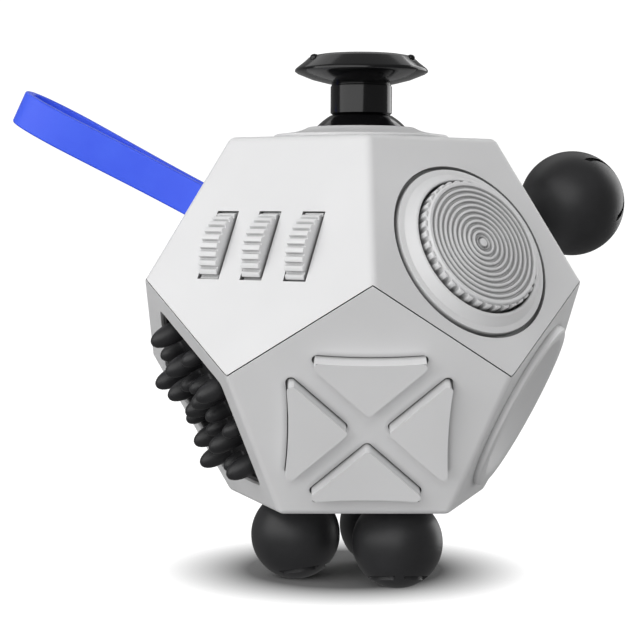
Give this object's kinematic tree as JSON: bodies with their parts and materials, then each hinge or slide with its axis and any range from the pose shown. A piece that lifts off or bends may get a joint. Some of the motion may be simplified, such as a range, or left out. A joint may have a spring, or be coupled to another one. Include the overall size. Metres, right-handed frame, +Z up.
{
  "type": "twelve-sided fidget toy",
  "caption": "Twelve-sided fidget toy with thumb joystick, thumb wheels, dial, cross buttons, nub pad, ball feet, swivel ball, switch, slider and soft strap loop.",
  "frame": {"origin": "on the resting plane, below the centre of the twelve-sided case, between the three ball feet", "axes": "+Z up through the joystick, -Y towards the front face with the cross buttons, +X to the side of the swivel ball"},
  "size_m": [0.0803, 0.0552, 0.0657],
  "materials": {
    "white_plastic": "semi-gloss",
    "grey_plastic": "matt",
    "black_plastic": "gloss",
    "black_rubber": "satin",
    "blue_silicone": "satin silicone",
    "steel": "turned"
  },
  "bodies": {
    "case": {"upper_shell": "white_plastic", "lower_shell": "white_plastic", "joystick_bezel": "white_plastic", "gimbal_pins": "steel", "joystick_base": "grey_plastic", "centring_ring": "black_rubber", "wheel_axle": "steel", "wheel_carrier": "grey_plastic", "dial_base": "grey_plastic", "dial_bezel": "white_plastic", "button_tray": "grey_plastic", "button_membrane": "black_rubber", "nub_pad": "black_rubber", "nub_backplate": "grey_plastic", "worry_stone": "white_plastic", "stone_backplate": "grey_plastic", "foot_pins": "steel", "foot_plate": "grey_plastic", "foot_clips": "steel", "swivel_stem": "black_plastic", "swivel_collar": "white_plastic", "swivel_plate": "grey_plastic", "swivel_nut": "steel", "strap_pin": "steel", "strap_anchor": "grey_plastic", "rocker_pin": "steel", "rocker_housing": "grey_plastic", "rocker_bezel": "white_plastic", "roller_ring": "white_plastic", "roller_cup": "grey_plastic", "slider_bezel": "white_plastic", "slider_track": "grey_plastic", "module_screws": "steel"},
    "gimbal": {"gimbal_ring": "steel"},
    "stick": {"thumb_cap": "black_plastic", "stick_dome": "black_plastic", "stick_pins": "steel"},
    "wheel_a": {"left_wheel": "white_plastic"},
    "wheel_b": {"middle_wheel": "white_plastic"},
    "wheel_c": {"right_wheel": "white_plastic"},
    "dial": {"dial_knob": "white_plastic", "dial_spindle": "steel", "dial_clip": "steel"},
    "button_up": {"upper_button": "white_plastic"},
    "button_right": {"right_button": "white_plastic"},
    "button_down": {"lower_button": "white_plastic"},
    "button_left": {"left_button": "white_plastic"},
    "foot_1": {"ball_foot_1": "black_rubber"},
    "foot_2": {"ball_foot_2": "black_rubber"},
    "foot_3": {"ball_foot_3": "black_rubber"},
    "swivel": {"swivel_ball": "black_rubber"},
    "strap": {"strap_loop": "blue_silicone"},
    "switch": {"rocker": "white_plastic"},
    "roller": {"rolling_ball": "steel"},
    "slider": {"slider_knob": "white_plastic"}
  },
  "joints": [
    {"name": "stick_fore_aft", "type": "hinge", "parent": "case", "child": "gimbal", "pos_m": [0, 0, 0.0515], "axis": [1, 0, 0], "range_deg": [-12, 12], "stiffness_Nm_per_rad": 0.02},
    {"name": "stick_side", "type": "hinge", "parent": "gimbal", "child": "stick", "pos_m": [0, 0, 0.0515], "axis": [0, 1, 0], "range_deg": [-12, 12], "stiffness_Nm_per_rad": 0.02},
    {"name": "wheel_a_spin", "type": "hinge", "parent": "case", "child": "wheel_a", "pos_m": [-0.0154, -0.00962, 0.04019], "axis": [0.809, -0.5878, 0], "continuous": true},
    {"name": "wheel_b_spin", "type": "hinge", "parent": "case", "child": "wheel_b", "pos_m": [-0.01038, -0.01327, 0.04019], "axis": [0.809, -0.5878, 0], "continuous": true},
    {"name": "wheel_c_spin", "type": "hinge", "parent": "case", "child": "wheel_c", "pos_m": [-0.00537, -0.01691, 0.04019], "axis": [0.809, -0.5878, 0], "continuous": true},
    {"name": "dial_spin", "type": "hinge", "parent": "case", "child": "dial", "pos_m": [0.01214, -0.01672, 0.04149], "axis": [0.5257, -0.7236, 0.4472], "continuous": true},
    {"name": "button_up_press", "type": "slide", "parent": "case", "child": "button_up", "axis": [0, 0.8944, 0.4472], "range_m": [0, 0.0008], "stiffness_N_per_m": 600, "springref_m": -0.0005},
    {"name": "button_right_press", "type": "slide", "parent": "case", "child": "button_right", "axis": [0, 0.8944, 0.4472], "range_m": [0, 0.0008], "stiffness_N_per_m": 600, "springref_m": -0.0005},
    {"name": "button_down_press", "type": "slide", "parent": "case", "child": "button_down", "axis": [0, 0.8944, 0.4472], "range_m": [0, 0.0008], "stiffness_N_per_m": 600, "springref_m": -0.0005},
    {"name": "button_left_press", "type": "slide", "parent": "case", "child": "button_left", "axis": [0, 0.8944, 0.4472], "range_m": [0, 0.0008], "stiffness_N_per_m": 600, "springref_m": -0.0005},
    {"name": "foot_1_turn", "type": "hinge", "parent": "case", "child": "foot_1", "pos_m": [-0.00797, -0.00054, 0.0054], "axis": [0, 0, -1], "continuous": true},
    {"name": "foot_2_turn", "type": "hinge", "parent": "case", "child": "foot_2", "pos_m": [0.00446, -0.00663, 0.0054], "axis": [0, 0, -1], "continuous": true},
    {"name": "foot_3_turn", "type": "hinge", "parent": "case", "child": "foot_3", "pos_m": [0.00352, 0.00718, 0.0054], "axis": [0, 0, -1], "continuous": true},
    {"name": "swivel_turn", "type": "hinge", "parent": "case", "child": "swivel", "pos_m": [0.02807, 0.00912, 0.04726], "axis": [0.8507, 0.2764, 0.4472], "continuous": true},
    {"name": "strap_swing", "type": "hinge", "parent": "case", "child": "strap", "pos_m": [-0.01506, 0.00489, 0.04444], "axis": [0.4253, -0.1382, 0.8944], "range_deg": [-18, 18], "stiffness_Nm_per_rad": 0.003},
    {"name": "switch_flip", "type": "hinge", "parent": "case", "child": "switch", "pos_m": [0, 0.01771, 0.04135], "axis": [-1, 0, 0], "range_deg": [-10, 10]},
    {"name": "roller_spin", "type": "hinge", "parent": "case", "child": "roller", "pos_m": [0.01067, 0.01469, 0.02342], "axis": [-0.809, 0.5878, 0], "continuous": true},
    {"name": "slider_slide", "type": "slide", "parent": "case", "child": "slider", "axis": [-0.2629, 0.3618, 0.8944], "range_m": [-0.0035, 0.0035]}
  ]
}
